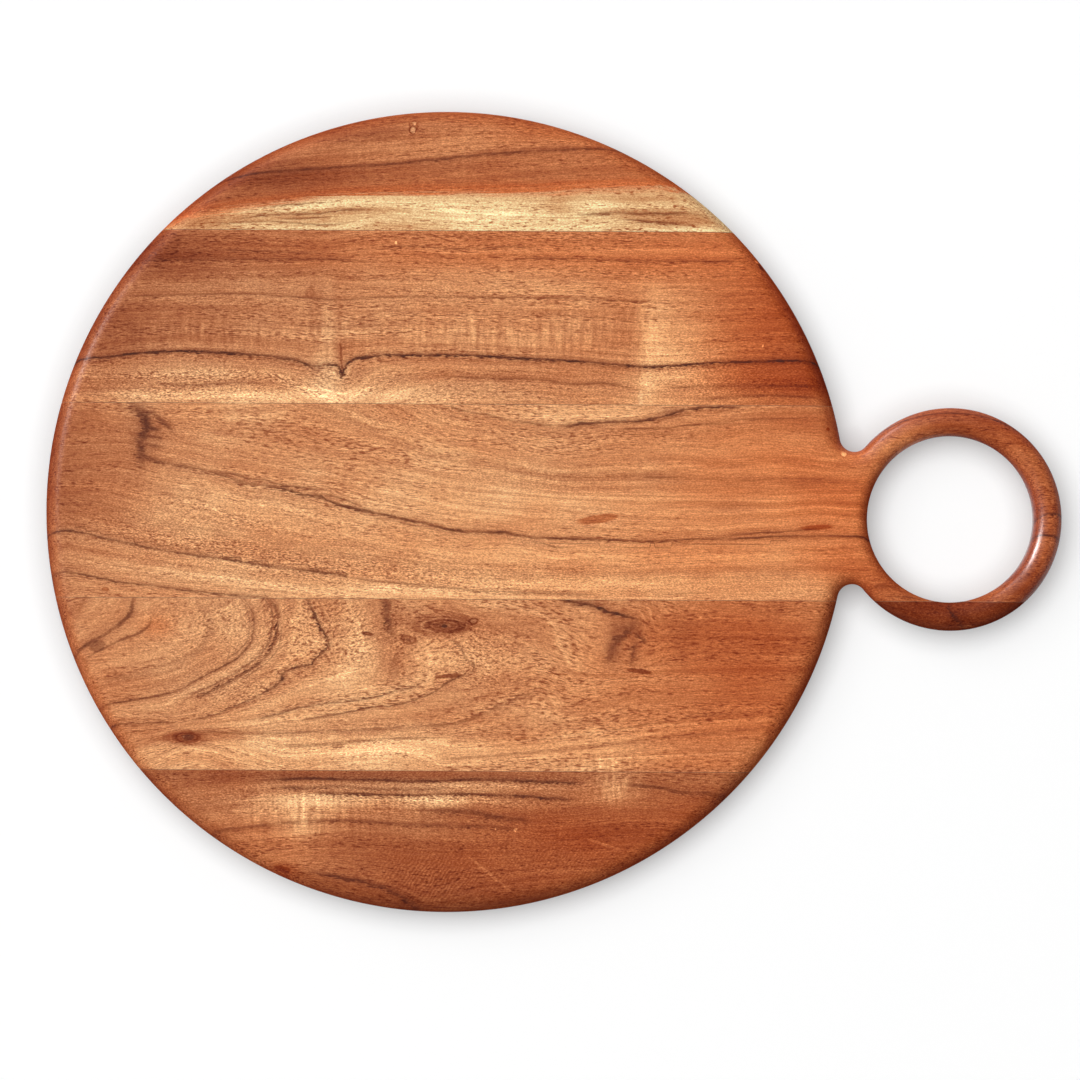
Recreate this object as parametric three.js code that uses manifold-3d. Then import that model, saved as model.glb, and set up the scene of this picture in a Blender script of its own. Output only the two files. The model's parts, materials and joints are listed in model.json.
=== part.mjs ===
// A round wooden serving board with a ring handle, built as the real one is made: staves glued edge to edge,
// then the outline sawn and every edge rounded over. The middle stave runs on into the neck and the ring, and a
// short lip of another plank completes the ring below it.
// Millimetres, +Z up. The origin is the centre of the round board on its underside. The grain and the handle run
// along +X, and the staves lie side by side along Y.
import * as THREE from "three";
import { mergeVertices } from "three/addons/utils/BufferGeometryUtils.js";
import Module from "manifold-3d";

// Driving sizes of the board
const BOARD_DIAMETER = 381;
const BOARD_THICKNESS = 18;
const EDGE_RADIUS = 8.5; // round-over on both faces, smaller where the wood has no room for it
const LEAST_FLAT = 0.6; // narrowest flat left between two round-overs

// Driving sizes of the ring handle
const RING_DIAMETER = 106; // outside
const RING_BAND = 13.4; // width of the wood round the finger hole
const NECK_WIDTH = 63; // across the neck, from throat to throat
const THROAT_RADIUS = 7; // fillet between the ring and the round board
const RING_MARGIN = 0.5; // from the ring up to the middle stave's upper edge

// Driving sizes of the staves, measured across the grain
const MIDDLE_STAVE_RISE = 51.2; // from the board's centre up to the middle stave's upper edge
const UPPER_STAVE_WIDTH = 82.3;
const LOWER_STAVE_WIDTH = 81.6;
const RING_LIP_DEPTH = 13.9; // how much of the ring lies below the middle stave
const GLUE_FILM = 0.2;

// Fineness of the curves
const CHORD_ERROR = 0.08;
const EDGE_STEPS = 6;

// Sizes that follow from these
const boardRadius = BOARD_DIAMETER / 2;
const ringRadius = RING_DIAMETER / 2;
const holeRadius = ringRadius - RING_BAND;
const boardEdge = Math.min(EDGE_RADIUS, (BOARD_THICKNESS - LEAST_FLAT) / 2);
const ringEdge = Math.min(boardEdge, (RING_BAND - LEAST_FLAT) / 2);

// The throat fillets touch both the board and the ring, so they set how far out the ring stands.
const throatRise = NECK_WIDTH / 2 + THROAT_RADIUS;
const throatReach = Math.sqrt((boardRadius + THROAT_RADIUS) ** 2 - throatRise ** 2);
const throatToRing = Math.sqrt((ringRadius + THROAT_RADIUS) ** 2 - throatRise ** 2);
const ringReach = throatReach + throatToRing;
const ringY = MIDDLE_STAVE_RISE - RING_MARGIN - ringRadius;
const ringX = Math.sqrt(ringReach ** 2 - ringY ** 2);
const neckTilt = Math.atan2(ringY, ringX);
const throatX = throatReach * Math.cos(neckTilt);

// Centre lines of the glue films, from the top of the board down
const upperSeam = MIDDLE_STAVE_RISE;
const topSeam = upperSeam + UPPER_STAVE_WIDTH;
const lowerSeam = ringY - ringRadius + RING_LIP_DEPTH;
const bottomSeam = lowerSeam - LOWER_STAVE_WIDTH;

// A cutting block reaches this far, past the board on every side.
const beyond = ringX + RING_DIAMETER + boardRadius;

const wasm = await Module();
wasm.setup();

// A closed geometry as a solid that can be cut.
function solidOf(geometry) {
  geometry.deleteAttribute("normal");
  geometry.deleteAttribute("uv");
  const merged = mergeVertices(geometry);
  const vertProperties = merged.attributes.position.array;
  const triVerts = new Uint32Array(merged.index.array);
  return new wasm.Manifold(new wasm.Mesh({ numProp: 3, vertProperties, triVerts }));
}

// A solid back as a geometry with flat-shaded faces.
function geometryOf(solid) {
  const { numProp, vertProperties, triVerts } = solid.getMesh();
  const points = new THREE.InterleavedBuffer(vertProperties, numProp);
  const geometry = new THREE.BufferGeometry();
  geometry.setAttribute("position", new THREE.InterleavedBufferAttribute(points, 3, 0));
  geometry.setIndex(new THREE.BufferAttribute(triVerts, 1));
  const flat = geometry.toNonIndexed();
  flat.computeVertexNormals();
  return flat;
}

// Points along an arc, without its last point, which the next arc starts with. It runs clockwise if to < from, with
// the wood on its left. Each point has the direction out of the wood there, and the radius of its round-over.
function arc(x, y, radius, from, to, edgeFrom, edgeTo) {
  const step = 2 * Math.acos(1 - CHORD_ERROR / radius);
  const count = Math.ceil(Math.abs(to - from) / step);
  const centre = new THREE.Vector2(x, y);
  const curve = new THREE.EllipseCurve(x, y, radius, radius, from, to, to < from);
  const places = curve.getPoints(count).slice(0, -1);
  return places.map((place, i) => ({
    place,
    out: place.clone().sub(centre).multiplyScalar(Math.sign(to - from) / radius),
    edge: edgeFrom + (edgeTo - edgeFrom) * THREE.MathUtils.smoothstep(i / count, 0, 1),
  }));
}

// The board's outline: the round board, a throat, the ring, and the other throat, about a level neck that is then
// tilted to where the ring stands. The round-over narrows from the board's to the ring's along the throats.
function boardOutline() {
  const atBoard = Math.atan2(throatRise, throatReach);
  const atRing = Math.atan2(throatRise, throatToRing);
  const points = [
    ...arc(0, 0, boardRadius, atBoard, 2 * Math.PI - atBoard, boardEdge, boardEdge),
    ...arc(throatReach, -throatRise, THROAT_RADIUS, Math.PI - atBoard, atRing, boardEdge, ringEdge),
    ...arc(ringReach, 0, ringRadius, atRing - Math.PI, Math.PI - atRing, ringEdge, ringEdge),
    ...arc(throatReach, throatRise, THROAT_RADIUS, -atRing, atBoard - Math.PI, ringEdge, boardEdge),
  ];
  const centre = new THREE.Vector2();
  for (const { place, out } of points) {
    place.rotateAround(centre, neckTilt);
    out.rotateAround(centre, neckTilt);
  }
  return points;
}

function holeOutline() {
  return arc(ringX, ringY, holeRadius, 2 * Math.PI, 0, ringEdge, ringEdge);
}

// The layers of the rim from the underside up: how far each has turned from its face towards the wall.
const quarter = Array.from({ length: EDGE_STEPS + 1 }, (_, step) => (step / EDGE_STEPS) * (Math.PI / 2));
const rimLayers = [
  ...quarter.map((turn) => ({ turn, face: 0, inward: 1 })),
  ...quarter.toReversed().map((turn) => ({ turn, face: BOARD_THICKNESS, inward: -1 })),
];

// One layer of the rim along an outline.
function layerPoints(outline, { turn, face, inward }) {
  return outline.map(({ place, out, edge }) => {
    const inset = edge * (1 - Math.sin(turn));
    const height = face + inward * edge * (1 - Math.cos(turn));
    return new THREE.Vector3(place.x - inset * out.x, place.y - inset * out.y, height);
  });
}

// The whole board in one, with its finger hole and rounded edges, before it is parted into its planks.
function wholeBoard() {
  const points = [];
  const corners = [];
  const underside = [];
  const top = [];
  for (const outline of [boardOutline(), holeOutline()]) {
    const count = outline.length;
    const first = points.length;
    const last = first + (rimLayers.length - 1) * count;
    rimLayers.forEach((layer) => points.push(...layerPoints(outline, layer)));
    for (let low = first; low < last; low += count) {
      const high = low + count;
      for (let i = 0; i < count; i++) {
        const next = (i + 1) % count;
        corners.push(low + i, low + next, high + next, low + i, high + next, high + i);
      }
    }
    underside.push(outline.map((_, i) => first + i));
    top.push(outline.map((_, i) => last + i));
  }
  for (const rims of [underside, top]) {
    const [outer, ...holes] = rims.map((rim) => rim.map((i) => new THREE.Vector2(points[i].x, points[i].y)));
    const numbers = rims.flat();
    for (const [a, b, c] of THREE.ShapeUtils.triangulateShape(outer, holes)) {
      const facingUp = [numbers[a], numbers[b], numbers[c]];
      corners.push(...(rims === top ? facingUp : facingUp.toReversed()));
    }
  }
  return solidOf(new THREE.BufferGeometry().setFromPoints(points).setIndex(corners));
}

// A cutting block between two lines across the grain, and between two along it.
function block(lowY, highY, lowX = -beyond, highX = beyond) {
  const corners = [
    new THREE.Vector2(lowX, lowY),
    new THREE.Vector2(highX, lowY),
    new THREE.Vector2(highX, highY),
    new THREE.Vector2(lowX, highY),
  ];
  const geometry = new THREE.ExtrudeGeometry(new THREE.Shape(corners), {
    depth: 3 * BOARD_THICKNESS,
    bevelEnabled: false,
  });
  return solidOf(geometry.translate(0, 0, -BOARD_THICKNESS));
}

const board = wholeBoard();
const above = (seam) => seam + GLUE_FILM / 2;
const below = (seam) => seam - GLUE_FILM / 2;

// What lies in a block, as one named piece.
function piece(name, material, cut) {
  const mesh = new THREE.Mesh(geometryOf(board.intersect(cut)), material);
  mesh.name = name;
  return mesh;
}

function wood(color) {
  return new THREE.MeshStandardMaterial({ color, roughness: 0.45, metalness: 0 });
}

// The planks, from the top of the board down. The sapwood edge makes the top stave's lower part pale.
const staves = new THREE.Group();
staves.add(
  piece("top_stave", wood(0xc38058), block(above(topSeam), beyond)),
  piece("upper_stave", wood(0xcb8758), block(above(upperSeam), below(topSeam))),
  piece("middle_stave_with_ring", wood(0xd48a59), block(above(lowerSeam), below(upperSeam))),
  piece("lower_stave", wood(0xcb8556), block(above(bottomSeam), below(lowerSeam), -beyond, throatX)),
  piece("bottom_stave", wood(0xac643e), block(-beyond, below(bottomSeam))),
  piece("ring_lip", wood(0x763622), block(-beyond, below(lowerSeam), throatX, beyond)),
);

// The cured glue that holds them, one film for each seam. The finger hole parts the lip's seam in two.
const glue = new THREE.MeshStandardMaterial({ color: 0x6b3f1f, roughness: 0.5, metalness: 0 });
function film(name, seam, lowX, highX) {
  return piece(name, glue, block(below(seam), above(seam), lowX, highX));
}
const films = new THREE.Group();
films.add(
  film("glue_film_top", topSeam),
  film("glue_film_upper", upperSeam),
  film("glue_film_lower", lowerSeam, -beyond, throatX),
  film("glue_film_bottom", bottomSeam),
  film("glue_film_lip_inner", lowerSeam, throatX, ringX),
  film("glue_film_lip_outer", lowerSeam, ringX, beyond),
);

const servingBoard = new THREE.Group();
servingBoard.add(staves, films);
export default servingBoard;
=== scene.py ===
import json
import math

import bmesh
import bpy
import numpy as np
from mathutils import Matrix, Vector
from mathutils.geometry import delaunay_2d_cdt


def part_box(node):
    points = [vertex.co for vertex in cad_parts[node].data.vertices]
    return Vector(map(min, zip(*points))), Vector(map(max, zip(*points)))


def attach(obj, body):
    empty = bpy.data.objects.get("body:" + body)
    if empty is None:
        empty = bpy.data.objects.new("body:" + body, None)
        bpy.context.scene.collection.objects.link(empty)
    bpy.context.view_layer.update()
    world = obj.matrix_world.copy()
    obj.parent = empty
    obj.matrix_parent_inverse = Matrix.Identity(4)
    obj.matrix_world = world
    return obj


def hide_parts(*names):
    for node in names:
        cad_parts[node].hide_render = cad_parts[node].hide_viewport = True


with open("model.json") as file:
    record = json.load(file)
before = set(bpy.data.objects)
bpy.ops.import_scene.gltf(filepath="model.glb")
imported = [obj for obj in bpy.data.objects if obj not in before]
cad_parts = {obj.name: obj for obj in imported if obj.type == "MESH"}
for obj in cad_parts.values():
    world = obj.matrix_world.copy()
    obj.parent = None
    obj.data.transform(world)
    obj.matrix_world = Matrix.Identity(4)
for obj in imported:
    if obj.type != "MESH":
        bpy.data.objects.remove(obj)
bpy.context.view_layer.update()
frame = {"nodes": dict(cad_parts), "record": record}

MM = 0.001

# Sizes of the board, as the solids have them
BOARD_RADIUS = 190.5
THICKNESS = 18.0
BOARD_EDGE = 8.5
RING_EDGE = 6.4
RING_RADIUS = 53.0
HOLE_RADIUS = 39.6
RING_Y = -2.3
NECK_HALF = 31.5
THROAT_RADIUS = 7.0

# Where the ring stands: the throat fillets touch both it and the round board.
THROAT_RISE = NECK_HALF + THROAT_RADIUS
THROAT_REACH = math.sqrt((BOARD_RADIUS + THROAT_RADIUS) ** 2 - THROAT_RISE ** 2)
THROAT_TO_RING = math.sqrt((RING_RADIUS + THROAT_RADIUS) ** 2 - THROAT_RISE ** 2)
RING_REACH = THROAT_REACH + THROAT_TO_RING
NECK_TILT = math.asin(RING_Y / RING_REACH)
RING_CENTRE = np.array([RING_REACH * math.cos(NECK_TILT), RING_Y])

# Fineness of the meshes
OUTLINE_STEP = 1.6
OUTLINE_TURN = math.radians(9)
EDGE_STEPS = 12
WALL_STEPS = 2
TOP_LATTICE = 2.0
UNDERSIDE_LATTICE = 4.0
LATTICE_CLEARANCE = 0.6  # from the outline, as a share of the lattice's step
CUT_MARGIN = 3 * TOP_LATTICE
SAME_POINT = 1e-6
SAME_PLANE = 1e-7

# Drawn lines of growth, in sets whose lines keep clear of each other. A line fades out past its reach.
LINE_SETS = 4
LINE_CLEARANCE = 9.0
LINE_REACH = 2.6
LINE_REACH_BY_WIDTH = 2.2
LINE_FADE = 10.0  # length of a line's fading at its ends
LINE_FADE_SHARE = 1 / 3  # of the line's length, at most
LINE_END = 1.5  # softness of the ends themselves
LINE_STRIDE = 3  # every how many points of a line count in its clearance
FADED_AWAY = 20.0  # how much farther a faded line counts, in half widths
NO_LINE = 50.0  # farther than any line counts, in half widths

# The growth bends like a thin plate through points along the streaks.
GROWTH_STEP = 9.0  # between these points
GROWTH_SCALE = 100.0  # unit of length in the plate's sums
GROWTH_GIVE = 1e-4  # how loosely the plate follows the points
GROWTH_LEAST = 1e-12  # keeps the logarithm in these sums finite

# Colours of the wood, and what one step darker or redder multiplies them by
HEARTWOOD = (0.62, 0.247, 0.106)
SAPWOOD = (0.80, 0.475, 0.228)
STREAK = (0.05, 0.027, 0.022)
DARKER = (0.62, 0.47, 0.44)
REDDER = (1.0, 0.78, 0.65)
GLUE_DARK = (0.12, 0.045, 0.02)
GLUE_LIGHT = (0.34, 0.14, 0.06)
GLUE_ROUGHNESS = 0.5

# Noises of the wood: what they follow, cells a millimetre along, across and through, detail, roughness and
# distortion. They follow the growth, the vessels, which bend with it in part, or the board itself.
NOISES = {
    "band": ("growth", (0.003, 0.2, 0.2), 3, 0.5, 0.0),
    "streaky": ("growth", (0.012, 0.7, 0.7), 3, 0.6, 0.0),
    "patchy": ("growth", (0.008, 0.25, 0.25), 2, 0.5, 0.0),
    "fibre": ("vessels", (0.07, 1.7, 1.7), 3, 0.6, 0.0),
    "dashes": ("vessels", (0.36, 1.8, 1.8), 0, 0.5, 0.4),
    "points": ("vessels", (0.65, 1.9, 1.9), 0, 0.5, 0.4),
    "speck": ("board", (1.1, 2.0, 2.0), 1, 0.6, 0.0),
    "blotch": ("board", (0.03, 0.06, 0.06), 2, 0.5, 0.0),
    "ripple": ("board", (0.5, 0.06, 0.06), 2, 0.5, 0.0),
    "wobble": ("board", (0.16, 0.3, 0.3), 4, 0.7, 0.0),
    "worn": ("board", (0.06, 0.12, 0.12), 4, 0.7, 0.0),
}
GLUE_NOISE = ((0.06, 1.0, 1.0), 3)
NOISE_TURN = (0.6, 0.4, 0.5)
VESSEL_BEND = 0.45
CURL = {"Scale": 0.19, "Distortion": 7.0, "Detail": 2.0, "Detail Scale": 0.9}
CURL_TURN = math.radians(35)

# Steps from none to all, between two values
PATCHY_STEP = (-0.15, 0.15)
PORE_STEP = (0.04, 0.2)
WORN_STEP = (-0.15, 0.12)
CORE_STEP = (2.0, 0.2)
HALO_STEP = (6.0, 0.5)
SPOT_STEP = (1.2, 0.75)
EYE_STEP = (1.05, 0.85)
SAP_STEP = (-2.5, 2.5)
SAP_GLOW_STEP = (-8.0, -1.0)
GLUE_STEP = (-0.2, 0.2)

# How much each layer counts: in a line's place, in the heartwood's tone and redness, in the place of the
# sapwood's edge and in its tone, in the gloss, and in the height of the grain
LINE_ROUGH = {"flecks": 5.0, "wobble": 3.0}
HEART_TONES = {"tone": 1.0, "band": 1.3, "streaky": 1.3, "fibre": 1.6, "speck": 2.0, "coarse": 1.4,
               "blotch": 0.5, "flecks": 1.6, "ripple": 2.4, "curl": 0.9, "rim": 1.0, "painted_edge_shade": 0.2,
               "lines": 2.2, "all": -0.36}
HEART_REDS = {"red": 1.0, "band": 0.5, "blotch": 0.8, "painted_edge_shade": 1.2}
SAP_EDGE = {"sap": 1.0, "streaky": 10.0, "fibre": 5.0}
SAP_TONES = {"sap_tone": 1.2, "streaky": 1.1, "fibre": 1.3, "speck": 1.6, "pores": 1.5, "band": 0.7,
             "lines": 1.6, "all": -0.47}
ROUGHNESS = {"fibre": 0.1, "pores": 0.12, "steep": 0.7, "all": 0.27}
HEIGHT = {"fibre": 0.6, "speck": 0.5, "pores": -0.8}
SAP_RED = 0.42
SAP_GLOW_TONE = -0.3
SAP_GLOW_RED = 1.3
LEAST_FLECKS = 0.4
LEAST_OPEN = 0.2
LEAST_LINE = 0.4
HALO = 0.17
LINE_GREY = 0.75
SPOT_GREY = 0.7
EYE_CORE = 0.3
SPOT_DEPTH = 6.0
SPOT_DRIFT = (2.2, 1.2, 0.0)
SPOT_DRIFT_SCALE = 0.5
STEEP_FROM = 0.15
STEEP_TO = 0.5
# Painted shade: the heartwood turns darker and redder down the round-overs, fully at this height from the
# nearer flat face
PAINTED_SHADE_HEIGHT = BOARD_EDGE / 2

# Gloss
GRAIN_BUMP = 0.35
GRAIN_HEIGHT = 0.0002
OIL_GLOSS = 0.08
POLISH_ROUGHNESS = 0.25

# The floor, a pale disc that is open under the board, where the board hides it. It has a fill of its own,
# which fades near the board into a painted shade round it.
FLOOR_REACH = 6.0
FLOOR_OPENING = 0.18
FLOOR_CORNERS = 96
FLOOR_DROP = 0.00005
FLOOR_COLOR = (0.45, 0.45, 0.45, 1.0)
FLOOR_LIFT = 0.62
FLOOR_SHADE = 0.72
FLOOR_SHADE_REACH = 0.014

# Lamps: direction from the board and rise above it, angular radius, all in degrees, and how brightly one
# lights a white that faces it. The gleams only make highlights.
LAMP_DISTANCE = 8.0
KEY = (141, 56, 33, 1.12)
GLEAMS = {
    "left_gleam": (163, 48, 9, 0.33),
    "ring_gleam": (158, 33, 8, 0.8),
    "top_gleam": (122, 20, 12, 0.2),
}

# The sky: its strength on the key's side and behind, and the share that is left overhead
SKY = 0.45
SKY_BEHIND = 0.24
SKY_STEP = (-0.7, 0.7)
ZENITH = 0.05
ZENITH_STEP = (0.6, 0.95)

# The camera, straight above
VIEW_CENTRE = Vector((0.0446, -0.0131, 0.0))
VIEW_WIDTH = 0.51435
VIEW_ROLL = math.radians(0.3)
VIEW_END = 100.0
LENS = 200.0
SENSOR = 36.0


# Columns of the patches below
WEIGHT_COLUMN = 4
RED_COLUMN = 5

# Sockets of a mix node for colours, which share their names with others
MIXED_COLORS = (6, 7)
MIXED_RESULT = 2

# The grain of each stave
# lean: how far the layers of growth move across the grain for each millimetre of depth
# pores: how dark the pores are
# sap_edge: the points of the edge between heartwood and sapwood
# streaks: (level, strength, half width, points), dark lines of growth, drawn if their strength isn't 0. The
# level is where a line would lie in straight grain, so the growth bends with it.
# leaning: (lean, strength, half width, points), lines with a lean of their own that don't bend the growth
# patches: (x, y, half length, half height, tone, red), where the wood is darker or redder, with soft edges
# sap_patches, polished, figures, dots, silky and curls: (x, y, half length, half height, weight), where the
# sapwood is darker, where hands have worn the wood to a gloss, where it shimmers in upright ripples, where
# its pores are cut across into dots, where they are fine, and where the wood curls
# eyes: (x, y, half length, half height, turn in degrees, outline, its width, tone within, red within),
# layers of a knot, with the outline's width as a share of its size
# spots: (x, y, half length, half height, turn in degrees, tone, red, grey), flecks and parts of knots
TOP_STAVE = {
    "lean": 0.5,
    "pores": 0.9,
    "sap_edge": [
        (-150, 133), (-128, 138), (-115, 140.5), (-105, 142), (-95, 143.5), (-85, 144.8), (-70, 147),
        (-60, 148.6), (-40, 149.8), (0, 150.3), (20, 150.5), (40, 151), (55, 152), (70, 153), (85, 153.8),
        (110, 153.8), (130, 153),
    ],
    "streaks": [
        (167, 0.55, 0.55, [(-112, 158), (-100, 159.5), (-80, 161.3), (-60, 162.8), (-30, 164.8),
            (0, 167.8), (20, 170), (40, 171.4), (60, 172.6), (76, 174), (90, 176)]),
        (150, 0, 1, [(-150, 134), (-128, 140), (-105, 144.5), (-85, 147), (-60, 149.5), (0, 150.3),
            (40, 151), (70, 153), (110, 153.8)]),
        (185, 0, 1, [(-80, 176), (-50, 179), (-20, 182.5), (20, 184.5), (60, 184)]),
        (141, 0.55, 0.4, [(-100, 138.5), (-85, 140.5), (-70, 141), (-60, 141.5), (-50, 143),
            (-32, 143.5)]),
        (137, 0.45, 0.4, [(-112, 136), (-90, 137.5), (-75, 137), (-60, 136), (-48, 137)]),
        (142, 0.6, 0.5, [(60, 141), (80, 142.5), (90, 142), (100, 142), (115, 142.3), (124, 141)]),
        (138, 0.55, 0.5, [(82, 139.5), (100, 138), (118, 136.5)]),
        (145, 0.5, 0.35, [(-86, 144.3), (-70, 145.8), (-52, 146.8)]),
        (139, 0.45, 0.35, [(-82, 138.8), (-66, 139.2), (-54, 140)]),
    ],
    "patches": [
        (-70, 156, 40, 5, 0.75, 0.25), (10, 162, 40, 4, 0.45, 0.25), (0, 187, 30, 4, 0.2, 0.0),
        (-40, 180, 20, 3, 0.35, 0.1), (40, 180, 30, 5, -0.1, 0.4), (-20, 172, 30, 4, -0.15, 0.0),
        (80, 163, 25, 6, 0.25, 0.5), (-112, 147, 10, 4, 0.6, 0.3), (20, 155, 40, 3, 0.15, 0.5),
        (-90, 163, 24, 10, 0.8, 0.0), (-50, 182, 22, 6, 0.5, 0.0),
    ],
    "sap_patches": [
        (103, 138.3, 15, 1.6, 0.7), (92, 142.5, 14, 1.2, 0.6), (118, 140, 9, 3, 0.4),
        (-75, 139, 25, 2, 0.35), (-40, 143, 14, 1.5, 0.4), (85, 150, 28, 3, 0.35),
        (-110, 140, 12, 4, 0.25), (52, 145, 5, 3, 0.35), (-18, 136, 14, 1.5, 0.5),
        (20, 141, 22, 2.5, -0.25), (-60, 145, 16, 2, -0.2), (70, 146, 9, 3, -0.3),
        (-124, 137, 12, 5, 0.7),
    ],
    "figures": [(-20, 172, 40, 8, 0.3)],
    "silky": [(-20, 160, 120, 20, 0.4)],
    "eyes": [
        (-16.2, 184.3, 1.0, 1.0, 0, 0.5, 0.5, -0.7, -0.4),
        (-16.7, 181.3, 1.4, 1.7, 10, 0.8, 0.5, -0.9, -0.5),
    ],
    "spots": [(-18.2, 182.2, 0.6, 2.8, 5, 0.7, 0.3, 0.0), (-14.8, 182.6, 0.6, 2.6, -8, 0.7, 0.3, 0.0)],
}

UPPER_STAVE = {
    "lean": 0.5,
    "pores": 1.0,
    "streaks": [
        (72, 1.0, 0.5, [(-186, 72), (-176, 72.5), (-166, 72.3), (-158, 73), (-150, 74.2), (-140, 75),
            (-130, 75.5), (-118, 75.6), (-108, 75.2), (-98, 74.6), (-88, 73.8), (-80, 72.8), (-75, 72.2),
            (-70, 71.2), (-67, 69.8), (-62, 68.8), (-57, 69.3), (-52, 68.9), (-50.8, 66.8), (-49.8, 63.9),
            (-48.8, 66.8), (-47.6, 69.6), (-46, 71.3), (-42, 72.8), (-35, 73.8), (-28, 74.3), (-10, 74.3),
            (0, 74.4), (20, 74), (40, 72.8), (60, 72), (70, 71.3), (80, 70.2), (92, 69.5), (100, 69.5),
            (110, 70.2), (120, 70.9), (130, 71.6), (150, 72.3), (165, 72.5), (182, 73)]),
        (102, 0.3, 0.4, [(-150, 101.5), (-140, 102), (-100, 103), (-78, 102), (-50, 100.3), (-40, 101.5),
            (-20, 102), (0, 102), (30, 101.8), (60, 101.6), (75, 101), (100, 100)]),
        (119.5, 0.3, 0.35, [(-150, 118.5), (-120, 119.3), (-80, 119.5), (-58, 119.8), (-40, 119)]),
        (125, 0.3, 0.3, [(-110, 123.8), (-80, 123), (-58, 122.3)]),
        (126, 0.35, 0.35, [(-35, 125.5), (-15, 126), (5, 124.8), (20, 125.5), (32, 126), (45, 125.3)]),
        (120.3, 0.35, 0.35, [(30, 120), (45, 120.5), (62, 120.4), (85, 119.5), (110, 119.5),
            (140, 119.6)]),
        (60, 0.22, 0.4, [(-140, 60), (-120, 59.5), (-100, 60.8), (-85, 60)]),
        (61, 0.3, 0.5, [(0, 64), (20, 63.5), (45, 63), (60, 61), (75, 61.5), (90, 59)]),
        (60, 0.3, 0.5, [(105, 59.5), (125, 60.5), (150, 60.5), (178, 60.5)]),
        (55, 0.35, 0.5, [(118, 54), (135, 55), (150, 56), (165, 55.5), (180, 54.5)]),
        (88, 0.15, 0.4, [(-75, 88.5), (-60, 87.5), (-45, 88), (-30, 89)]),
    ],
    "patches": [
        (-110, 125, 60, 6, 0.45, 0.45), (10, 124, 70, 9, 0.1, 0.8), (110, 122, 40, 10, 0.2, 0.8),
        (-115, 120, 50, 14, 0.65, -0.1), (-125, 86, 45, 11, 0.55, 0.0), (-125, 60, 45, 9, 0.55, 0.0),
        (-90, 108, 40, 5, 0.1, 0.0), (-62, 95, 2.2, 9, 0.45, 0.1), (-51.5, 94, 1.2, 8, 0.35, 0.15),
        (-50.5, 77, 1, 5, 0.7, 0.2), (-57, 63, 5, 9, -0.4, -0.45), (-56.5, 86, 4.5, 9, -0.3, -0.25),
        (-120, 64, 35, 4, -0.4, -0.2), (-95, 54.5, 42, 3.5, -1.0, -0.4), (-20, 55, 25, 4, -0.5, -0.3),
        (-150, 84, 10, 12, 0.4, 0.1), (-115, 86, 20, 6, 0.2, 0.1), (40, 66, 35, 3, 0.4, 0.3),
        (82, 88, 8, 14, 0.3, 0.25), (98, 88, 5, 18, -0.45, -0.2), (95, 60, 3.5, 7, -0.5, -0.3),
        (112, 78, 12, 14, -0.35, -0.2), (150, 90, 22, 20, 0.65, 1.6), (160, 62, 24, 9, 0.75, 1.4),
        (0, 112, 60, 4, -0.15, -0.2), (10, 92, 50, 8, -0.15, -0.1), (165, 105, 12, 14, 0.4, 0.6),
        (-168, 90, 14, 26, 0.7, 0.2), (20, 60, 55, 6, 0.25, 0.0), (112, 65, 14, 5, -0.3, -0.15),
        (-138, 122, 18, 12, 0.8, 0.2), (176, 74, 9, 18, 0.75, 0.5), (140, 125, 20, 8, 0.0, 0.4),
        (20, 88, 50, 9, 0.18, 0.1), (115, 85, 55, 45, -0.03, 0.25), (-130, 95, 40, 20, -0.1, -0.12),
    ],
    "figures": [
        (20, 84, 45, 8, 0.85), (-110, 84, 40, 7, 0.7), (-56, 75, 6, 22, 0.35), (96, 80, 5, 24, 0.4),
        (72, 86, 14, 12, 0.4),
    ],
    "dots": [
        (-120, 62, 50, 9, 0.9), (0, 60, 90, 7, 0.6), (150, 60, 30, 8, 0.7), (110, 70, 22, 12, 0.6),
        (-100, 105, 40, 8, 0.4), (-5, 105, 15, 4, 0.5),
    ],
    "silky": [(150, 90, 60, 60, 0.3)],
    "eyes": [(-65, 104, 1.7, 2.5, -15, 0.4, 0.5, 0.2, 0.1)],
    "spots": [
        (-49.8, 67, 1.0, 2.6, 0, 0.9, 0.3, 0.2), (-50.3, 75, 0.6, 5.5, 3, 0.9, 0.2, 0.1),
        (149, 117, 3.2, 1.0, -48, 1.6, 0.1, 0.6), (147, 119.5, 1.6, 0.5, -48, -1.6, 0.0, 0.0),
        (156, 109, 9, 0.6, -60, -0.8, -0.2, 0.0), (92, 54.5, 1.2, 3.0, 0, -0.3, -0.3, 0.0),
        (150, 79.6, 0.4, 0.8, 0, -1.6, 0.0, 0.0), (-24.5, 127.6, 0.5, 0.8, 0, -1.6, 0.0, 0.0),
    ],
}

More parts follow.
